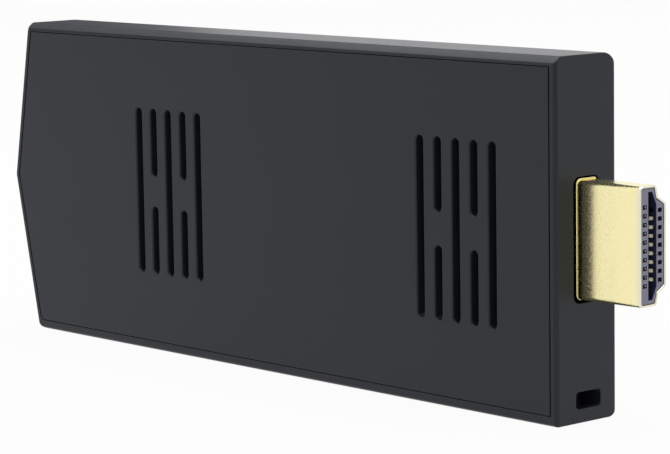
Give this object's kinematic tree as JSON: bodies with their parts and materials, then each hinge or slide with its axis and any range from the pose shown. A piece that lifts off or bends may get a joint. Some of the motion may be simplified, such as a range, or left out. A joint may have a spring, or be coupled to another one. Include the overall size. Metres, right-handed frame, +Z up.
{
  "type": "stick computer",
  "caption": "Flat stick computer in a dark moulded case with a pointed far end, a slotted cooling cover, a gilt video plug on the near end, edge ports, a strap slot and a back power button.",
  "frame": {"origin": "on the standing surface, under the middle of the whole outline, plug included", "axes": "+X along the case towards the plug, -Y out of the slotted cover, +Z up across the width as it stands on its long edge"},
  "size_m": [0.1146, 0.0102, 0.0428],
  "materials": {
    "case_plastic": "fine moulded texture, charcoal",
    "cover_plastic": "fine moulded texture, charcoal",
    "plug_gilt": "gilt sheet steel, satin bright",
    "plug_plastic": "moulded grey insulator",
    "contact_gilt": "gilt spring contact",
    "board_laminate": "dark solder mask on laminate",
    "screw_steel": "zinc plated",
    "chip_mould": "black moulded package",
    "pad_silicone": "soft thermal pad",
    "spreader_metal": "black anodised sheet",
    "coil_ferrite": "moulded ferrite",
    "capacitor_ceramic": "sintered ceramic",
    "can_steel": "tinned sheet steel",
    "antenna_ceramic": "white ceramic",
    "port_steel": "nickel plated sheet steel",
    "tongue_white": "moulded white insulator",
    "tongue_black": "moulded black insulator",
    "button_plastic": "satin moulded cap",
    "switch_plastic": "moulded switch body",
    "light_resin": "clear resin lamp",
    "pipe_acrylic": "frosted clear acrylic"
  },
  "bodies": {
    "case": {"main_shell": "case_plastic", "vent_cover": "cover_plastic", "plug_shell": "plug_gilt", "plug_insulator": "plug_plastic", "plug_contacts_wide": "contact_gilt", "plug_contacts_narrow": "contact_gilt", "main_board": "board_laminate", "board_screws": "screw_steel", "processor": "chip_mould", "thermal_pads": "pad_silicone", "heat_spreader": "spreader_metal", "memory_chips": "chip_mould", "storage_chip": "chip_mould", "power_chip": "chip_mould", "inductors": "coil_ferrite", "capacitors": "capacitor_ceramic", "crystals": "can_steel", "wireless_board": "board_laminate", "wireless_can": "can_steel", "antenna": "antenna_ceramic", "host_shell": "port_steel", "host_tongue": "tongue_white", "host_contacts": "contact_gilt", "data_shell": "port_steel", "data_tongue": "tongue_black", "data_contacts": "contact_gilt", "power_shell": "port_steel", "power_tongue": "tongue_black", "power_contacts": "contact_gilt", "card_cover": "can_steel", "card_base": "tongue_black", "card_contacts": "contact_gilt", "switch_body": "switch_plastic", "status_light": "light_resin", "light_pipe": "pipe_acrylic"},
    "button": {"power_button": "button_plastic", "switch_plunger": "tongue_white"}
  },
  "joints": [
    {"name": "button_press", "type": "slide", "parent": "case", "child": "button", "axis": [0, -1, 0], "range_m": [0, 0.0003], "stiffness_N_per_m": 600}
  ]
}
